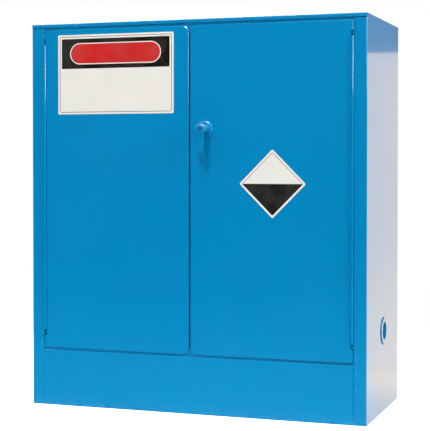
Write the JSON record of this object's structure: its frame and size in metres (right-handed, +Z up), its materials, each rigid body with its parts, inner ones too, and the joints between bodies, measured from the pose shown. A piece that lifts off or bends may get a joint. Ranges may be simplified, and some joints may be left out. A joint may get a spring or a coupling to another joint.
{
  "type": "dangerous goods storage cabinet",
  "caption": "Double-walled steel cabinet for corrosive liquids: flush doors on continuous hinges, lever latch, spill sump, removable shelves and trays, side vents with bungs.",
  "frame": {"origin": "middle of the carcass footprint, on the floor", "axes": "+X to the right seen from the front, +Y from the doors to the back, +Z up"},
  "size_m": [1.106, 0.5187, 1.225],
  "materials": {
    "blue_paint": "semi-gloss blue enamel on sheet steel",
    "zinc_steel": "bright zinc plate",
    "gauze_steel": "plain perforated steel",
    "lock_satin": "satin, dark blue",
    "seal_rubber": "matt black rubber",
    "magnet_ferrite": "dark ferrite strip",
    "bung_plastic": "blue moulded plastic",
    "liner_plastic": "natural polyethylene",
    "tray_plastic": "natural polypropylene",
    "notice_face": "semi-gloss off-white",
    "diamond_face": "semi-gloss white"
  },
  "bodies": {
    "cabinet": {"top_panel": "blue_paint", "left_side_panel": "blue_paint", "right_side_panel": "blue_paint", "back_panel": "blue_paint", "base_pan": "blue_paint", "plinth_panel": "blue_paint", "left_inner_side": "blue_paint", "right_inner_side": "blue_paint", "inner_back": "blue_paint", "ceiling_panel": "blue_paint", "spacer_channels": "zinc_steel", "door_stop_frame": "blue_paint", "door_seal": "seal_rubber", "magnets": "magnet_ferrite", "strike_plates": "zinc_steel", "left_post_hinge_leaf": "blue_paint", "right_post_hinge_leaf": "blue_paint", "left_hinge_pin": "zinc_steel", "right_hinge_pin": "zinc_steel", "left_vent_port": "blue_paint", "right_vent_port": "blue_paint", "left_vent_gauze": "gauze_steel", "right_vent_gauze": "gauze_steel", "sump_tray": "blue_paint", "standards": "zinc_steel", "shelf_clips": "zinc_steel"},
    "left_door": {"left_door_pan": "blue_paint", "left_door_liner": "blue_paint", "left_door_stiffener": "zinc_steel", "left_keeper": "zinc_steel", "left_door_hinge_leaf": "blue_paint", "notice_plate": "notice_face"},
    "right_door": {"right_door_pan": "blue_paint", "right_door_liner": "blue_paint", "right_door_stiffener": "zinc_steel", "right_keeper": "zinc_steel", "right_door_hinge_leaf": "blue_paint", "diamond_plate": "diamond_face", "handle_rose": "blue_paint", "rose_nut": "zinc_steel", "rod_guides": "zinc_steel", "cam_cover": "zinc_steel", "cover_screws": "zinc_steel"},
    "handle": {"lever": "blue_paint", "spindle": "zinc_steel", "cam": "zinc_steel"},
    "lock": {"lock_plug": "lock_satin"},
    "upper_rod": {"upper_bolt_rod": "zinc_steel"},
    "lower_rod": {"lower_bolt_rod": "zinc_steel"},
    "left_bung": {"left_vent_bung": "bung_plastic"},
    "right_bung": {"right_vent_bung": "bung_plastic"},
    "lower_shelf": {"lower_shelf": "blue_paint"},
    "upper_shelf": {"upper_shelf": "blue_paint"},
    "lower_tray": {"lower_tray": "tray_plastic"},
    "upper_tray": {"upper_tray": "tray_plastic"},
    "sump_liner": {"sump_liner": "liner_plastic"}
  },
  "joints": [
    {"name": "left_door_swing", "type": "hinge", "parent": "cabinet", "child": "left_door", "pos_m": [-0.50545, -0.236, 0.6125], "axis": [0, 0, -1], "range_deg": [0, 170]},
    {"name": "right_door_swing", "type": "hinge", "parent": "cabinet", "child": "right_door", "pos_m": [0.50545, -0.236, 0.6125], "axis": [0, 0, 1], "range_deg": [0, 170]},
    {"name": "handle_turn", "type": "hinge", "parent": "right_door", "child": "handle", "pos_m": [0.042, -0.235, 0.885], "axis": [0, -1, 0], "range_deg": [0, 90]},
    {"name": "lock_turn", "type": "hinge", "parent": "handle", "child": "lock", "pos_m": [0.042, -0.2833, 0.885], "axis": [0, -1, 0], "range_deg": [0, 90]},
    {"name": "upper_bolt_slide", "type": "slide", "parent": "right_door", "child": "upper_rod", "axis": [0, 0, 1], "range_m": [0, 0.01424]},
    {"name": "lower_bolt_slide", "type": "slide", "parent": "right_door", "child": "lower_rod", "axis": [0, 0, -1], "range_m": [0, 0.01424]},
    {"name": "left_bung_pull", "type": "slide", "parent": "cabinet", "child": "left_bung", "axis": [-1, 0, 0], "range_m": [0, 0.03]},
    {"name": "right_bung_pull", "type": "slide", "parent": "cabinet", "child": "right_bung", "axis": [1, 0, 0], "range_m": [0, 0.03]},
    {"name": "lower_shelf_lift", "type": "slide", "parent": "cabinet", "child": "lower_shelf", "axis": [0, 0, 1], "range_m": [0, 0.04]},
    {"name": "upper_shelf_lift", "type": "slide", "parent": "cabinet", "child": "upper_shelf", "axis": [0, 0, 1], "range_m": [0, 0.04]},
    {"name": "lower_tray_lift", "type": "slide", "parent": "lower_shelf", "child": "lower_tray", "axis": [0, 0, 1], "range_m": [0, 0.06]},
    {"name": "upper_tray_lift", "type": "slide", "parent": "upper_shelf", "child": "upper_tray", "axis": [0, 0, 1], "range_m": [0, 0.06]},
    {"name": "sump_liner_lift", "type": "slide", "parent": "cabinet", "child": "sump_liner", "axis": [0, 0, 1], "range_m": [0, 0.05]}
  ],
  "couplings": [
    {"joint": "upper_bolt_slide", "follows": "handle_turn", "m_per_rad": 0.0090032},
    {"joint": "lower_bolt_slide", "follows": "handle_turn", "m_per_rad": 0.0090032}
  ]
}
